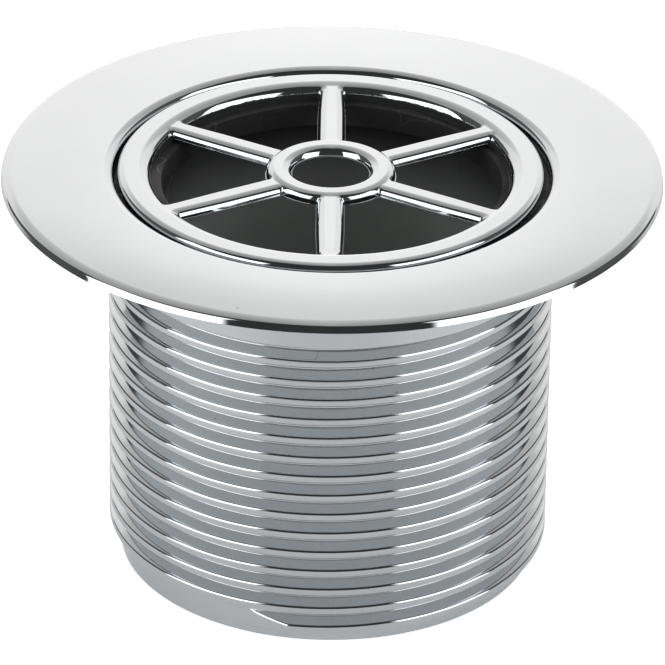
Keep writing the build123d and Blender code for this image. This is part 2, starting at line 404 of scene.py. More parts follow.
def body_profile(s):
    """Turned rows from the neck's lower edge over the flange, and down inside to the tail's end.

    Returns the rows, their normals and, for each row, whether it belongs to the unplated inside. The rim has
    a tight rounding and a broad one, and the flange's upper face is an arc between its two slopes.
    """
    root_r = s.crest_radius - s.thread_depth
    top, end_z = s.flange_thickness, -s.tail_length
    ledge_z = top - s.ledge_depth
    under_z = ledge_z - s.ledge_thickness
    crown_r = (s.flange_radius + s.recess_radius) / 2
    crown = (s.flange_radius - s.recess_radius) / 2 - s.crown_margin
    shoulder = (s.rim_shoulder_radius * tan((s.rim_shoulder_fall - s.rim_fall) / 2)
                + s.rim_top_radius * tan((pi / 2 - s.rim_draft - s.rim_shoulder_fall) / 2))
    edge_z = top - (s.flange_radius - crown_r) * tan(s.rim_fall) - shoulder * sin(s.rim_shoulder_fall)
    edge_r = s.flange_radius - edge_z * tan(s.rim_draft)
    shoulder_r = edge_r - shoulder * cos(s.rim_shoulder_fall)
    shoulder_z = edge_z + shoulder * sin(s.rim_shoulder_fall)
    crown_z = shoulder_z + (shoulder_r - crown_r) * tan(s.rim_fall)
    mouth_z = top - (crown_r - s.recess_radius) * tan(s.mouth_fall)
    plated = (
        (s.neck_radius, -s.neck_length, s.neck_edge, 3),
        (s.neck_radius, 0.0, s.root_fillet, 6),
        (s.flange_radius, 0.0, s.rim_under_radius, 3),
        (edge_r, edge_z, s.rim_top_radius, 8),
        (shoulder_r, shoulder_z, s.rim_shoulder_radius, 8),
        (crown_r, crown_z, crown / tan((s.rim_fall + s.mouth_fall) / 2), 10),
        (s.recess_radius, mouth_z, s.mouth_radius, 10),
    )
    unplated = (
        (s.recess_radius, ledge_z, s.recess_edge, 3),
        (s.ledge_radius, ledge_z, s.ledge_edge, 3),
        (s.ledge_radius, under_z, s.ledge_under_edge, 3),
        (s.bore_radius, under_z, s.ledge_fillet, 4),
        (s.bore_radius, end_z, s.tail_edge, 3),
    )
    cone_foot = (root_r, -s.neck_length - (s.neck_radius - root_r) * tan(s.flank_slope))
    tail_end = (root_r, end_z, s.tail_edge, 3)
    rows, normals, corner = turned_rows(cone_foot, (*plated, *unplated, tail_end),
                                        (root_r, end_z + 2 * s.tail_edge))
    inside = (corner >= len(plated)) & (corner < len(plated) + len(unplated))
    return rows, normals, inside


def make_body(s, finishes):
    """The waste's body: thread and turned rows stacked into one closed surface round the axis."""
    phase = np.linspace(0.0, 1.0, s.columns + 1)
    theta = s.thread_start + TURN * np.where(phase < 1.0, phase, 0.0)
    thread_r, thread_z, thread_n, top_r, top_z = thread_rows(s, phase)
    turned, turned_n, turned_inside = body_profile(s)
    columns = np.ones_like(phase)

    radius = np.concatenate((thread_r, top_r[None], turned[:, :1] * columns))
    height = np.concatenate((thread_z, top_z[None], turned[:, 1:] * columns))
    cone = (sin(s.flank_slope), 0.0, -cos(s.flank_slope))
    turned_n = (turned_n[:, :1], np.zeros((len(turned), 1)), turned_n[:, 1:])
    outward, along, upward = (np.concatenate((thread, [line * columns], rows * columns))
                              for thread, line, rows in zip(thread_n, cone, turned_n))
    inside = np.concatenate((np.zeros(len(thread_r) + 1, bool), turned_inside))

    points = around(radius, height, theta).reshape(-1, 3)
    normals = round_normals(outward, along, upward, theta).reshape(-1, 3)
    triangles = strip_corners(len(radius), len(phase), closed_rows=True)
    finish_of = inside[triangles[:, 0] // len(phase)] & inside[triangles[:, 2] // len(phase)]
    return build_mesh("waste_body_plated", points, normals, triangles, finishes, finish_of)


def grid_heights(g):
    """Heights of the ring's upper face, the spokes' upper and lower faces, and the ring's underside."""
    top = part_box("grid")[1][2]
    spoke_z = top - g.spoke_drop
    return top, spoke_z, spoke_z - g.spoke_thickness, top - g.thickness


def fade(distance):
    """Falls from one at nil to nil at one, as half a cosine wave."""
    return 0.5 + 0.5 * np.cos(pi * np.clip(distance, 0.0, 1.0))


def window_curve(g):
    """One window's edge, point by point, and the angles of its sector's border on the ring and on the hub.

    A row holds a point of the edge in plan, its normal into the plate, the point of the sector's border that
    faces it, and how far it belongs to the ring, to the hub and to the stretch with the ring's steep wall.
    The window lies between the spokes at plus and minus half a step from +X. Its edge is an arc at the ring,
    a rounded corner, a straight run along a spoke, a rounded corner, an arc at the hub, and the same
    mirrored.
    The sector's border is the ring band's circle, a spoke's middle line, the hub band's circle and the other
    spoke's middle line, and meets the middle of each rounded corner at its own corner.
    """
    half = pi / g.spokes
    ring_r, hub_r, corner_r = g.radius - g.ring_width, g.hub_radius, g.corner_radius
    ring_band_r, hub_band_r = ring_r + g.ring_inset, hub_r - g.hub_inset
    edge = g.spoke_width / 2
    away = edge + corner_r
    outer_u = sqrt((ring_r - corner_r) ** 2 - away ** 2)
    inner_u = sqrt((hub_r + corner_r) ** 2 - away ** 2)
    along = np.array((cos(half), sin(half)))
    square = np.array((sin(half), -cos(half)))
    outer_c = outer_u * along + away * square
    inner_c = inner_u * along + away * square
    outer_q, inner_q = atan2(outer_c[1], outer_c[0]), atan2(inner_c[1], inner_c[0])
    middle = CORNER_STEPS // 2
    rest = CORNER_STEPS - middle

    def rays(q):
        return np.stack((np.cos(q), np.sin(q)), axis=1)

    def run(plan, normal, border, ringed, hubbed, steep):
        shares = np.broadcast_arrays(plan[:, 0], ringed, hubbed, steep)[1:]
        return np.column_stack((plan, np.broadcast_to(normal, plan.shape), border, *shares))

    ring_q = np.linspace(0, outer_q, RING_STEPS)
    ring_corner_q = np.linspace(outer_q, half, middle + 1)
    hub_q = np.linspace(inner_q, 0, HUB_STEPS)
    hub_corner_q = np.linspace(half, inner_q, rest)
    to_spoke = half + pi / 2
    outer_n = rays(np.linspace(outer_q, to_spoke, CORNER_STEPS))
    inner_n = rays(np.linspace(to_spoke, inner_q + pi, CORNER_STEPS))
    outer_border = np.concatenate((ring_band_r * rays(ring_corner_q),
                                   np.linspace(ring_band_r, outer_u, rest)[1:, None] * along))
    inner_border = np.concatenate((np.linspace(inner_u, hub_band_r, middle + 1)[:, None] * along,
                                   hub_band_r * rays(hub_corner_q)[1:]))
    u = inner_u + (outer_u - inner_u) * fade(np.linspace(0, 1, SPOKE_STEPS))
    spoke_line = u[:, None] * along
    turning = fade(np.linspace(0, 1, CORNER_STEPS))
    runs = (
        run(ring_r * rays(ring_q), rays(ring_q), ring_band_r * rays(ring_q), 1, 0, 1),
        run(outer_c + corner_r * outer_n, outer_n, outer_border, turning, 0, 1),
        run(spoke_line + edge * square, -square, spoke_line, 0, 0, fade((outer_u - u) / g.steep_fade)),
        run(inner_c + corner_r * inner_n, inner_n, inner_border, 0, 1 - turning, 0),
        run(hub_r * rays(hub_q), -rays(hub_q), hub_band_r * rays(hub_q), 0, 1, 0),
    )
    upper = np.concatenate((runs[0], *(part[1:] for part in runs[1:])))
    mirror = (1, -1, 1, -1, 1, -1, 1, 1, 1)
    curve = np.concatenate((upper, upper[-2:0:-1] * mirror))
    ring_q = np.concatenate((ring_q, ring_corner_q[1:]))
    hub_q = np.concatenate((hub_q[::-1], hub_corner_q[-2::-1]))
    return curve, ring_q, hub_q


def every_sector(angles, sectors):
    """Angles all round, from those of the half sector beside +X, with one more to close the circle."""
    sector = np.concatenate((-angles[:0:-1], angles))[:-1]
    turned = sector[None, :] + TURN / sectors * np.arange(sectors)[:, None]
    return np.concatenate((turned.ravel(), sector[:1] + TURN))


def rounded_edge(distance, radius, draft, level):
    """Height and slope of a face with a rounded edge, at a distance into it from the corner of face and wall.

    Beyond the rounding's reach R tan(45 degrees - draft / 2) the height is the level. Nearer the wall it is
    level - R + sqrt(R^2 - (reach - distance)^2), and past the rounding it falls along the wall.
    """
    reach = radius * tan(pi / 4 - draft / 2)
    short = np.clip(reach - distance, 0.0, radius * cos(draft))
    depth = np.sqrt(radius ** 2 - short ** 2)
    past = np.minimum(distance - reach + radius * cos(draft), 0.0)
    return level - radius + depth + past / tan(draft), short / depth


def higher(one, other, soft):
    """The higher of two faces, each a height and its slopes in plan, with a soft crease where they cross.

    Where the heights differ by less than the softness k, with h = 1 - difference / k, the crease is filled by
    k h^2 / 4, and the slopes are mixed in the shares 1 - h / 2 and h / 2.
    """
    (z_one, slope_one), (z_other, slope_other) = one, other
    near = np.clip(1.0 - np.abs(z_one - z_other) / soft, 0.0, 1.0)
    part = np.where(z_one > z_other, 1.0 - near / 2, near / 2)[..., None]
    return np.maximum(z_one, z_other) + soft * near ** 2 / 4, part * slope_one + (1.0 - part) * slope_other


def underside(g, xy):
    """Height of the grid's underside: that of the spokes, with a step down to the ring's near its foot."""
    _, spoke_z, under_z, ledge_z = grid_heights(g)
    ring_foot_r = g.radius - g.ring_width - (spoke_z - ledge_z) * tan(g.ring_draft)
    step = (np.linalg.norm(xy, axis=-1) - ring_foot_r + g.step_start) / g.step_width
    return under_z + (ledge_z - under_z) * np.clip(step, 0.0, 1.0)


def upper_face(g, xy, spoke_face):
    """Height and slopes of the grid's upper side: the highest of a spoke's, the ring's and the hub's faces.

    The ring's face and the hub's are level, with an edge rounded towards the windows.
    """
    top = grid_heights(g)[0]
    r = np.linalg.norm(xy, axis=-1)
    away = xy / r[..., None]
    in_ring = r - (g.radius - g.ring_width) - g.spoke_drop * tan(g.ring_draft)
    in_hub = g.hub_radius - g.spoke_drop * tan(g.hub_draft) - r
    ring_z, ring_slope = rounded_edge(in_ring, g.ring_inner_edge, g.ring_draft, top)
    hub_z, hub_slope = rounded_edge(in_hub, g.hub_edge, g.hub_draft, top)
    face = higher(spoke_face, (ring_z, ring_slope[..., None] * away), g.crease)
    return higher(face, (hub_z, -hub_slope[..., None] * away), g.crease)


def window_wall(g, curve):
    """Rows of a window's wall, from its lower edge over the lip to its rounded upper edge, and their normals.

    Across the wall the profile is given as the distance from the window's upper edge into the plate, and the
    height. The lower edge follows the plate's underside, which is lower under the ring than under the spokes.
    Also returns how many rows, from the lower edge up, lie below the rounding of the upper edge.
    """
    plan, inward, (ringed, hubbed, steep) = curve[:, :2], curve[:, 2:4], curve[:, 6:].T
    _, spoke_z, _, ledge_z = grid_heights(g)
    draft = g.spoke_draft + steep * (g.ring_draft - g.spoke_draft) + hubbed * (g.hub_draft - g.spoke_draft)
    slope = np.tan(draft)
    foot_z = underside(g, plan - inward * ((spoke_z - ledge_z) * slope)[:, None])
    foot_s = -(spoke_z - foot_z) * slope
    lip_z = foot_z + g.lip_height
    lip_s = foot_s - g.lip_width * np.maximum(ringed, hubbed)
    corners = np.array((
        (lip_s, foot_z),
        (lip_s, lip_z),
        (foot_s + g.lip_height * slope, lip_z),
        np.broadcast_arrays(0.0, spoke_z, slope)[:2],
    )).transpose(0, 2, 1)
    lip = np.full(len(plan), g.lip_edge)
    rim = g.spoke_edge + ringed * (g.ring_inner_edge - g.spoke_edge) + hubbed * (g.hub_edge - g.spoke_edge)
    to_window, upright, to_plate = np.array(((-1.0, 0.0), (0.0, 1.0), (1.0, 0.0)))
    leaning = np.stack((np.sin(draft), np.cos(draft)), axis=-1)
    steps = (1, 2, 2, 12)
    rows, normal = fillet_rows(corners, (to_window, upright, to_plate, leaning),
                               (upright, to_plate, leaning, to_plate), np.stack((lip, lip, lip, rim)), steps)
    wall = np.concatenate((plan + rows[..., :1] * inward, rows[..., 1:]), axis=-1)
    wall_n = -np.concatenate((normal[..., :1] * inward, normal[..., 1:]), axis=-1)
    return wall, wall_n, len(rows) - steps[-1] - 1


def window_strip(g, curve):
    """Surface round one window, from the border below, round the wall and its edges, to the border above.

    Above, the spokes' own face and rounding, the ring's and the hub's are three height functions, and the
    surface is the highest of them with soft creases between.
    """
    border = curve[:, 4:6]
    spoke_z = grid_heights(g)[1]
    wall, wall_n, low_rows = window_wall(g, curve)
    blend = np.linspace(0.0, 1.0, BORDER_STEPS)[:, None, None]
    below_xy = border + blend[:-1] * (wall[0, :, :2] - border)
    below = np.concatenate((below_xy, underside(g, below_xy)[..., None]), axis=-1)
    above_xy = wall[-1, :, :2] + blend[1:] * (border - wall[-1, :, :2])

    edge, edge_n = wall[low_rows:], wall_n[low_rows:]
    own_z = np.concatenate((edge[..., 2], np.full(above_xy.shape[:2], spoke_z)))
    own_slope = np.concatenate((-edge_n[..., :2] / edge_n[..., 2:], np.zeros(above_xy.shape)))
    upper_xy = np.concatenate((edge[..., :2], above_xy))
    upper_z, upper_slope = upper_face(g, upper_xy, (own_z, own_slope))
    upper = np.concatenate((upper_xy, upper_z[..., None]), axis=-1)
    upper_n = unit(np.concatenate((-upper_slope, np.ones((*upper_z.shape, 1))), axis=-1))
    below_n = np.broadcast_to((0.0, 0.0, -1.0), below.shape)
    points = np.concatenate((below, wall[:low_rows], upper))
    return points, np.concatenate((below_n, wall_n[:low_rows], upper_n))


def ring_rows(g):
    """Profile of the ring, from its upper face over the outer edge to the underside."""
    top, _, _, ledge_z = grid_heights(g)
    band_r = g.radius - g.ring_width + g.ring_inset
    corners = ((g.radius, top, g.ring_edge, 10), (g.radius, ledge_z, g.ring_under_edge, 2))
    return band_rows((band_r, top), corners, (band_r, ledge_z))


def hub_rows(g):
    """Profile of the hub, from the underside up a bevel and through the hole to its upper face."""
    top, _, under_z, _ = grid_heights(g)
    band_r = g.hub_radius - g.hub_inset
    foot_z = under_z + g.hole_foot
    foot_r = g.hole_radius - (top - foot_z) * tan(g.hole_draft)
    lip_r, lip_z = foot_r - g.lip_width, foot_z + g.lip_height
    corners = (
        (foot_r + g.hole_foot, under_z, g.lip_edge, 1),
        (lip_r, foot_z, g.lip_edge, 1),
        (lip_r, lip_z, g.lip_edge, 2),
        (foot_r + g.lip_height * tan(g.hole_draft), lip_z, g.lip_edge, 2),
        (g.hole_radius, top, g.hole_edge, 12),
    )
    return band_rows((band_r, under_z), corners, (band_r, top))


def band_rows(first, corners, last):
    """Rows and outward normals of a turned band of the grid, with both of its end points."""
    rows, normals, _ = turned_rows(first, corners, last)
    rows = np.concatenate(([first], rows, [last]))
    return rows, -np.concatenate((normals[:1], normals, normals[-1:]))


def make_grid(g, finishes):
    """The loose grid: a strip round every window, the ring and the hub, welded along their shared borders."""
    curve, ring_q, hub_q = window_curve(g)
    strip, strip_n = window_strip(g, curve)
    rows, columns = strip.shape[:2]
    turns = TURN / g.spokes * np.arange(g.spokes)
    turn = np.zeros((g.spokes, 3, 3))
    turn[:, 0, 0] = turn[:, 1, 1] = np.cos(turns)
    turn[:, 1, 0], turn[:, 0, 1] = np.sin(turns), -np.sin(turns)
    turn[:, 2, 2] = 1.0
    points, normals = ([np.einsum("kab,rcb->krca", turn, part).reshape(-1, 3)] for part in (strip, strip_n))
    cell = strip_corners(rows, columns, closed_columns=True)[:, ::-1]
    triangles = [(cell + np.arange(g.spokes)[:, None, None] * rows * columns).reshape(-1, 3)]
    for (band, band_n), q in ((ring_rows(g), ring_q), (hub_rows(g), hub_q)):
        theta = every_sector(q, g.spokes)
        start = sum(len(part) for part in points)
        points.append(around(band[:, :1], band[:, 1:], theta).reshape(-1, 3))
        normals.append(round_normals(band_n[:, :1], 0.0, band_n[:, 1:], theta).reshape(-1, 3))
        triangles.append(start + strip_corners(len(band), len(theta))[:, ::-1])
    points, normals, triangles = (np.concatenate(parts) for parts in (points, normals, triangles))
    points[:, 0] -= g.offset
    one_finish = np.zeros(len(triangles), int)
    return build_mesh("grid_plated", points, unit(normals), triangles, finishes, one_finish)


def wire(tree, kind, inputs=None, **values):
    """Add a node, set its values and feed its inputs, each from a socket or a plain value."""
    node = tree.nodes.new(kind)
    for key, value in values.items():
        setattr(node, key, value)
    for key, value in (inputs or {}).items():
        if isinstance(value, bpy.types.NodeSocket):
            tree.links.new(value, node.inputs[key])
        else:
            node.inputs[key].default_value = value
    return node


def maths(tree, operation, a, b=0.0, c=0.0):
    """Output of a maths node."""
    return wire(tree, "ShaderNodeMath", {0: a, 1: b, 2: c}, operation=operation).outputs[0]


def product(tree, *values):
    """Output of maths nodes that multiply the values."""
    result = values[0]
    for value in values[1:]:
        result = maths(tree, "MULTIPLY", result, value)
    return result


def opposite(tree, mask):
    """One minus the mask."""
    return maths(tree, "SUBTRACT", 1.0, mask)


def mix(tree, share_of_b, a, b, blend="MIX"):
    """Output of a colour mix node."""
    inputs = {0: share_of_b, 6: a, 7: b}
    return wire(tree, "ShaderNodeMix", inputs, data_type="RGBA", blend_type=blend).outputs[2]


def noise(tree, place, scale, detail=2.0, roughness=0.5):
    """Output of a noise texture."""
    inputs = {"Vector": place, "Scale": scale, "Detail": detail, "Roughness": roughness}
    return wire(tree, "ShaderNodeTexNoise", inputs).outputs["Fac"]


def between(tree, value, low, high, start=0.0, end=1.0):
    """Smooth change from the start, where the value is low, to the end, where it is high."""
    inputs = {"Value": value, "From Min": low, "From Max": high, "To Min": start, "To Max": end}
    return wire(tree, "ShaderNodeMapRange", inputs, interpolation_type="SMOOTHSTEP").outputs["Result"]


def place_parts(tree):
    """The place in object coordinates, and its three parts by name."""
    place = wire(tree, "ShaderNodeTexCoord").outputs["Object"]
    return place, wire(tree, "ShaderNodeSeparateXYZ", {0: place}).outputs


def new_group(name, inputs, outputs):
    """Shader node group with named sockets, and the outputs of its input node.

    Each input comes with its default, a number or a colour, and each output with its kind of socket.
    """
    group = bpy.data.node_groups.new(name, "ShaderNodeTree")
    for socket, default in inputs.items():
        kind = "NodeSocketFloat" if isinstance(default, float) else "NodeSocketColor"
        group.interface.new_socket(socket, in_out="INPUT", socket_type=kind).default_value = default
    for socket, kind in outputs.items():
        group.interface.new_socket(socket, in_out="OUTPUT", socket_type=kind)
    return group, group.nodes.new("NodeGroupInput").outputs


def moulded_skin_group():
    """Moulded and plated skin: patchy gloss from handling, fine grain, pits, and the mould's faint waves.

    Puts out a roughness, a tint and a height that all change over the surface. The roughness given is spread
    from three fifths of it to nearly twice. The pits lie in the cells of a pattern, and only in the share of
    them that isn't clean.
    """
    group, given = new_group(
        "moulded_skin",
        {"Roughness": 0.06, "Colour": WHITE, "Waves": 1.0, "Clean": 0.97},
        {"Roughness": "NodeSocketFloat", "Colour": "NodeSocketColor", "Height": "NodeSocketFloat"},
    )
    patch_scale, grain_scale, wave_scale, pit_scale = 90.0, 2600.0, 55.0, 420.0
    patch_low, patch_high = 0.35, 0.75
    least_gloss, gloss_range = 0.6, 1.3
    least_grain, grain_range = 0.985, 0.03
    pit_reach, pit_core, pit_dark = 0.07, 0.03, 0.55
    place, _ = place_parts(group)
    patches = between(group, noise(group, place, patch_scale, 4.0, 0.6), patch_low, patch_high)
    spread = maths(group, "MULTIPLY_ADD", patches, gloss_range, least_gloss)
    grain = maths(group, "MULTIPLY_ADD", noise(group, place, grain_scale), grain_range, least_grain)
    pits = wire(group, "ShaderNodeTexVoronoi", {"Vector": place, "Scale": pit_scale}).outputs
    chosen = wire(group, "ShaderNodeSeparateXYZ", {0: pits["Color"]}).outputs["X"]
    pit = product(group, between(group, pits["Distance"], pit_reach, pit_core),
                  maths(group, "GREATER_THAN", chosen, given["Clean"]))
    speckled = product(group, grain, opposite(group, product(group, pit, pit_dark)))
    wire(group, "NodeGroupOutput", {
        "Roughness": product(group, spread, given["Roughness"]),
        "Colour": mix(group, 1.0, given["Colour"], speckled, "MULTIPLY"),
        "Height": product(group, noise(group, place, wave_scale, 1.0), given["Waves"]),
    })
    return group


def plating_reach_and_shade_group():
    """Where the plating stops and painted shade begins: a mask, nil on the ring's wall below a ragged height,
    where the wall is painted in the dark inside colour as shade, and one elsewhere.

    The height is the edge's own height plus a noise that runs along the wall. A second mask marks the frayed
    skin along that edge and at the foot of the hub hole's wall.
    """
    group, given = new_group(
        "plating_reach_and_shade",
        {"Inner radius": 18.9 * MM, "Outer radius": 19.9 * MM, "Height": 0.3 * MM, "Raggedness": 0.2 * MM,
         "Hole radius": 4.6 * MM, "Hole foot": 0.36 * MM},
        {"Plated": "NodeSocketFloat", "Frayed": "NodeSocketFloat"},
    )
    edge_soft, fray_core, fray_reach, foot_soft = 0.02 * MM, 0.03 * MM, 0.09 * MM, 0.05 * MM
    ragged_scale, upright_stretch = 900.0, (1.0, 1.0, 0.25)
    fray_low, fray_high = 0.42, 0.52
    place, parts = place_parts(group)
    reach = maths(group, "SQRT", maths(group, "ADD", maths(group, "POWER", parts["X"], 2.0),
                                       maths(group, "POWER", parts["Y"], 2.0)))
    stretched = wire(group, "ShaderNodeMapping", {"Vector": place, "Scale": upright_stretch}).outputs[0]
    ragged = noise(group, stretched, ragged_scale, 5.0, 0.7)
    lift = product(group, maths(group, "SUBTRACT", ragged, NOISE_MIDDLE), given["Raggedness"])
    over = maths(group, "SUBTRACT", parts["Z"], maths(group, "ADD", given["Height"], lift))
    off_wall = maths(group, "MAXIMUM", maths(group, "GREATER_THAN", reach, given["Outer radius"]),
                     maths(group, "LESS_THAN", reach, given["Inner radius"]))
    close = between(group, maths(group, "ABSOLUTE", over), fray_reach, fray_core)
    frayed = product(group, close, between(group, ragged, fray_low, fray_high), opposite(group, off_wall))
    over_foot = maths(group, "SUBTRACT", parts["Z"], given["Hole foot"])
    in_hole = product(group, between(group, over_foot, foot_soft, 0.0),
                      maths(group, "LESS_THAN", reach, given["Hole radius"]))
    wire(group, "NodeGroupOutput", {
        "Plated": maths(group, "MAXIMUM", between(group, over, -edge_soft, edge_soft), off_wall),
        "Frayed": maths(group, "MAXIMUM", frayed, in_hole),
    })
    return group


def inside_shade_tone_group():
    """Tone of the inside: a dark colour high up that is painted shade, a paler one low down that is painted
    light from the open tail, and fine light scratches.

    A scratch is a thin line where a noise passes its middle value, in the places that a second noise chooses.
    """
    group, given = new_group(
        "inside_shade_tone",
        {"Above": WHITE, "Below": WHITE, "Scratch": (0.6, 0.6, 0.58, 1.0), "High": -4.0 * MM,
         "Low": -14.5 * MM},
        {"Colour": "NodeSocketColor"},
    )
    vein_scale, choice_scale, scratch_share = 75.0, 60.0, 0.16
    line_edge, line_core = 0.003, 0.001
    choice_low, choice_high = 0.52, 0.6
    place, parts = place_parts(group)
    # Painted shade high up and painted light low down, blended by height.
    tone_with_painted_light = mix(group, between(group, parts["Z"], given["Low"], given["High"]), given["Below"], given["Above"])
    off_middle = maths(group, "SUBTRACT", noise(group, place, vein_scale, 3.0, 0.45), NOISE_MIDDLE)
    line = between(group, maths(group, "ABSOLUTE", off_middle), line_edge, line_core)
    chosen = between(group, noise(group, place, choice_scale, 1.0), choice_low, choice_high)
    marked = mix(group, product(group, line, chosen, scratch_share), tone_with_painted_light, given["Scratch"])
    wire(group, "NodeGroupOutput", {"Colour": marked})
    return group


def new_material(name):
    """Material with a Principled shader, its node tree and that shader's inputs."""
    material = bpy.data.materials.new(name)
    material.use_nodes = True
    return material, material.node_tree, material.node_tree.nodes["Principled BSDF"].inputs


def skin(tree, shader, f, inputs, bump):
    """Outputs of a moulded skin node with the given inputs. Its waves go to the shader as a bump."""
    group = bpy.data.node_groups.get("moulded_skin") or moulded_skin_group()
    node = wire(tree, "ShaderNodeGroup", inputs, node_tree=group)
    waves = {"Height": node.outputs["Height"], "Strength": bump, "Distance": f.wave_depth}
    tree.links.new(wire(tree, "ShaderNodeBump", waves).outputs["Normal"], shader["Normal"])
    return node.outputs


def chrome_skin(tree, shader, f, waves, clean):
    """Outputs of a moulded skin in the colour and gloss of the plating."""
    inputs = {"Roughness": f.chrome_roughness, "Colour": (*f.chrome_colour, 1.0), "Waves": waves,
              "Clean": clean}
    return skin(tree, shader, f, inputs, f.chrome_bump)


def body_chrome(f):
    """Chrome plating of the body, with some pits."""
    material, tree, shader = new_material("body_chrome_plating")
    plating = chrome_skin(tree, shader, f, waves=1.0, clean=0.93)
    tree.links.new(plating["Colour"], shader["Base Color"])
    tree.links.new(plating["Roughness"], shader["Roughness"])
    shader["Metallic"].default_value = 1.0
    return material


def grid_chrome(f):
    """Chrome plating of the grid, which gives way on the lower part of the ring's wall to a non-metal skin
    painted dark as shade.
    """
    material, tree, shader = new_material("grid_chrome_plating")
    plating = chrome_skin(tree, shader, f, waves=0.6, clean=0.99)
    reach = wire(tree, "ShaderNodeGroup", node_tree=plating_reach_and_shade_group()).outputs
    blur = {0: reach["Frayed"], 2: plating["Roughness"], 3: f.frayed_roughness}
    tree.links.new(wire(tree, "ShaderNodeMix", blur, data_type="FLOAT").outputs[0], shader["Roughness"])
    # Painted shade: the dark inside colour on the ring's wall below the plating's edge.
    paint = mix(tree, reach["Plated"], (*f.inside_shade_colour, 1.0), plating["Colour"])
    tree.links.new(paint, shader["Base Color"])
    tree.links.new(reach["Plated"], shader["Metallic"])
    shader["Specular IOR Level"].default_value = f.matt_shine
    return material


def painted_shade_inside(f):
    """Non-metal inside of the body, with the ledge's dark colour above as painted shade and the bore's paler
    colour below as painted light.
    """
    material, tree, shader = new_material("painted_shade_inside")
    # Painted shade above and painted light below.
    colours = {"Above": (*f.inside_shade_colour, 1.0), "Below": (*f.inside_lit_colour, 1.0)}
    tone_with_painted_light = wire(tree, "ShaderNodeGroup", colours, node_tree=inside_shade_tone_group())
    inputs = {"Roughness": f.inside_roughness, "Colour": tone_with_painted_light.outputs["Colour"], "Waves": 1.0, "Clean": 1.0}
    plastic = skin(tree, shader, f, inputs, f.inside_bump)
    tree.links.new(plastic["Colour"], shader["Base Color"])
    tree.links.new(plastic["Roughness"], shader["Roughness"])
    shader["Metallic"].default_value = 0.0
    shader["Specular IOR Level"].default_value = f.inside_shine
    return material


def pale_floor(s, f):
    """Pale matt floor with a faint mottle and a light of its own; painted shade makes it dimmer far in front,
    painted light brighter at the sides, and a painted shadow of the waste dimmer behind it.

    The camera sees it a little brighter than its reflections are, as white as the paper of a catalogue. Only
    the part near the waste shows in reflections, and from below the floor is clear.
    """
    material, tree, shader = new_material("pale_floor")
    front_far, front_near = -250 * MM, -70 * MM
    side_near, side_far = 25 * MM, 70 * MM
    back_far = 50 * MM
    mottle_scale, mottle_range, least_mottle = 40.0, 0.015, 0.985
    place, parts = place_parts(tree)
    front, sideways = parts["Y"], maths(tree, "ABSOLUTE", parts["X"])
    seen = wire(tree, "ShaderNodeLightPath").outputs["Is Camera Ray"]
    mottle = maths(tree, "MULTIPLY_ADD", noise(tree, place, mottle_scale), mottle_range, least_mottle)
    # Painted light and shade: dimmer far in front, brighter at the sides, and a painted shadow behind the
    # waste.
    lit = product(tree, between(tree, front, front_far, front_near, s.floor_front_shade_level, 1.0),
                  between(tree, sideways, side_near, side_far, 1.0, s.floor_side_light_level),
                  between(tree, front, 0.0, back_far, 1.0, s.floor_back_shadow_level))
    tone_with_painted_light = product(tree, mottle, maths(tree, "MAXIMUM", lit, seen))
    paint = mix(tree, 1.0, (*f.floor_colour, 1.0), tone_with_painted_light, "MULTIPLY")
    tree.links.new(paint, shader["Base Color"])
    tree.links.new(paint, shader["Emission Color"])
    glow = maths(tree, "MULTIPLY_ADD", seen, s.floor_camera_glow, s.floor_glow)
    tree.links.new(glow, shader["Emission Strength"])
    near = product(tree, between(tree, sideways, s.floor_side + s.floor_fade, s.floor_side - s.floor_fade),
                   between(tree, front, -s.floor_front, s.floor_fade - s.floor_front))
    from_below = wire(tree, "ShaderNodeNewGeometry").outputs["Backfacing"]
    solid = product(tree, maths(tree, "MAXIMUM", seen, near), opposite(tree, from_below))
    tree.links.new(solid, shader["Alpha"])
    shader["Roughness"].default_value = f.floor_roughness
    shader["Specular IOR Level"].default_value = f.matt_shine
    return material


def grey_ramp(tree, angle_value, stops, span, tint=(1.0, 1.0, 1.0)):
    """Output of a ramp of levels at the given angles, with one tint over all. The span is in degrees too."""
    node = wire(tree, "ShaderNodeValToRGB", {0: maths(tree, "DIVIDE", angle_value, radians(span))})
    ramp = node.color_ramp
    ramp.interpolation = "EASE"
    while len(ramp.elements) < len(stops):
        ramp.elements.new(1.0)
    for stop, (degrees, level) in zip(ramp.elements, stops):
        stop.position = degrees / span
        stop.color = (*(level * part for part in tint), 1.0)
    return node.outputs["Color"]


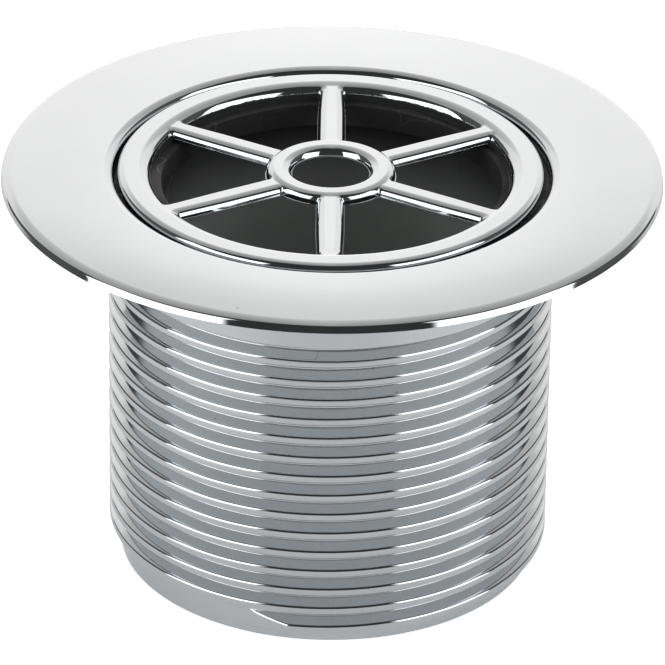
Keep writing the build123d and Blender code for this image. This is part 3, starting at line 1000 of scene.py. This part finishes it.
def studio_world(s):
    """Soft studio: a white sweep behind that dims upwards, a grey ceiling, and a white panel on each side.

    All of it depends on the direction alone. The azimuth is counted from the camera's side, so that it is nil
    towards -Y and grows to both sides, and the rise is the direction's height. The camera itself sees white.
    """
    world = bpy.data.worlds.new("studio")
    bpy.context.scene.world = world
    world.use_nodes = True
    tree = world.node_tree
    tree.nodes.clear()
    way = wire(tree, "ShaderNodeTexCoord").outputs["Generated"]
    parts = wire(tree, "ShaderNodeSeparateXYZ", {0: way}).outputs
    sideways, forward = maths(tree, "ABSOLUTE", parts["X"]), product(tree, parts["Y"], -1.0)
    azimuth = maths(tree, "ARCTAN2", sideways, forward)
    rise = maths(tree, "ARCSINE", parts["Z"])

    def past(value, edge, soft):
        return between(tree, value, edge - soft, edge + soft)

    flare = maths(tree, "MAXIMUM", maths(tree, "SUBTRACT", rise, s.sweep_flare), 0.0)
    behind = past(maths(tree, "ADD", azimuth, flare), s.sweep_edge, s.sweep_soft)
    bright = maths(tree, "MAXIMUM", behind, past(rise, s.ceiling_edge, s.ceiling_soft))
    round_level = grey_ramp(tree, azimuth, SWEEP_ROUND, 180)
    up_level = grey_ramp(tree, rise, SWEEP_UP, 90, SWEEP_TINT)
    levels = wire(tree, "ShaderNodeVectorMath", {0: up_level, 1: round_level}, operation="MULTIPLY")
    gain = {0: levels.outputs[0], "Scale": s.sweep_gain}
    sweep = wire(tree, "ShaderNodeVectorMath", gain, operation="SCALE").outputs[0]
    panel = product(tree, past(azimuth, s.panel_near, s.panel_soft),
                    past(azimuth, s.panel_far, -s.panel_far_soft), past(rise, s.panel_top, -s.panel_soft))
    dark = mix(tree, past(azimuth, s.dark_turn, s.dark_soft), (*s.dark_front, 1.0), (*s.dark_side, 1.0))
    light = mix(tree, bright, mix(tree, panel, dark, (*s.panel_light, 1.0)), sweep)
    seen = wire(tree, "ShaderNodeLightPath").outputs["Is Camera Ray"]
    background = wire(tree, "ShaderNodeBackground", {"Color": mix(tree, seen, light, WHITE)})
    wire(tree, "ShaderNodeOutputWorld", {"Surface": background.outputs[0]})


def add_camera(s):
    """Camera at the photograph's angle, aimed and rolled as it was."""
    data = bpy.data.cameras.new("camera")
    data.sensor_width = SENSOR_WIDTH
    data.lens = s.camera_lens
    data.clip_start, data.clip_end = NEAR_CLIP, FAR_CLIP
    camera = bpy.data.objects.new("camera", data)
    bpy.context.scene.collection.objects.link(camera)
    place = Vector((0.0, -cos(s.camera_elevation), sin(s.camera_elevation))) * s.camera_distance
    place.z += s.camera_rise
    sight = (Vector(s.camera_aim) - place).normalized()
    level = sight.cross(Vector((0.0, 0.0, 1.0))).normalized()
    upright = level.cross(sight)
    right = cos(s.camera_roll) * level + sin(s.camera_roll) * upright
    up = right.cross(sight)
    turn = Matrix((right, up, -sight)).transposed().to_4x4()
    camera.matrix_world = Matrix.Translation(place) @ turn
    bpy.context.scene.camera = camera


def add_floor(s, f, z):
    """Floor: a level sheet at the given height that goes far on all sides."""
    x = y = np.linspace(-s.floor_reach, s.floor_reach, FLOOR_POINTS)
    points = np.stack(np.broadcast_arrays(x[None, :], y[:, None], z), axis=-1).reshape(-1, 3)
    normals = np.broadcast_to((0.0, 0.0, 1.0), points.shape)
    triangles = strip_corners(len(y), len(x))
    one_finish = np.zeros(len(triangles), int)
    floor = build_mesh("floor", points, normals, triangles, [pale_floor(s, f)], one_finish)


class WASTE_OT_body(Operator):
    """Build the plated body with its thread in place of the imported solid"""

    bl_idname = "waste.body"
    bl_label = "Waste body"

    def execute(self, context):
        scene = context.scene
        finishes = [body_chrome(scene.waste_finish), painted_shade_inside(scene.waste_finish)]
        piece = make_body(scene.waste_body, finishes)
        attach(piece, BODY)
        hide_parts("waste_body")
        return {"FINISHED"}


class WASTE_OT_grid(Operator):
    """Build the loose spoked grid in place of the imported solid"""

    bl_idname = "waste.grid"
    bl_label = "Waste grid"

    def execute(self, context):
        scene = context.scene
        piece = make_grid(scene.waste_grid, [grid_chrome(scene.waste_finish)])
        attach(piece, BODY)
        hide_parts("grid")
        return {"FINISHED"}


class WASTE_OT_stage(Operator):
    """Lay the floor, light the studio and set up the camera"""

    bl_idname = "waste.stage"
    bl_label = "Studio"

    def execute(self, context):
        scene = context.scene
        add_floor(scene.waste_stage, scene.waste_finish, -scene.waste_body.tail_length)
        studio_world(scene.waste_stage)
        add_camera(scene.waste_stage)
        scene.view_settings.view_transform = "Standard"
        return {"FINISHED"}


class WASTE_PT_sidebar(Panel):
    """Lists the waste's pieces"""

    bl_idname = "WASTE_PT_sidebar"
    bl_label = "Shower Waste"
    bl_space_type = "VIEW_3D"
    bl_region_type = "UI"
    bl_category = "Shower Waste"

    def draw(self, context):
        for operator in OPERATORS:
            self.layout.operator(operator.bl_idname)


OPERATORS = (WASTE_OT_body, WASTE_OT_grid, WASTE_OT_stage)
SETTINGS = {
    "waste_body": WasteBodySettings,
    "waste_grid": GridSettings,
    "waste_finish": FinishSettings,
    "waste_stage": StageSettings,
}


def register():
    """Register the settings, the operators and the panel."""
    for name, settings in SETTINGS.items():
        bpy.utils.register_class(settings)
        setattr(bpy.types.Scene, name, PointerProperty(type=settings))
    for kind in (*OPERATORS, WASTE_PT_sidebar):
        bpy.utils.register_class(kind)


def unregister():
    """Take back what register did."""
    for kind in (WASTE_PT_sidebar, *reversed(OPERATORS)):
        bpy.utils.unregister_class(kind)
    for name, settings in reversed(SETTINGS.items()):
        delattr(bpy.types.Scene, name)
        bpy.utils.unregister_class(settings)


def main():
    """Build every piece and the stage."""
    register()
    bpy.ops.waste.body()
    bpy.ops.waste.grid()
    bpy.ops.waste.stage()


if __name__ == "__main__":
    main()
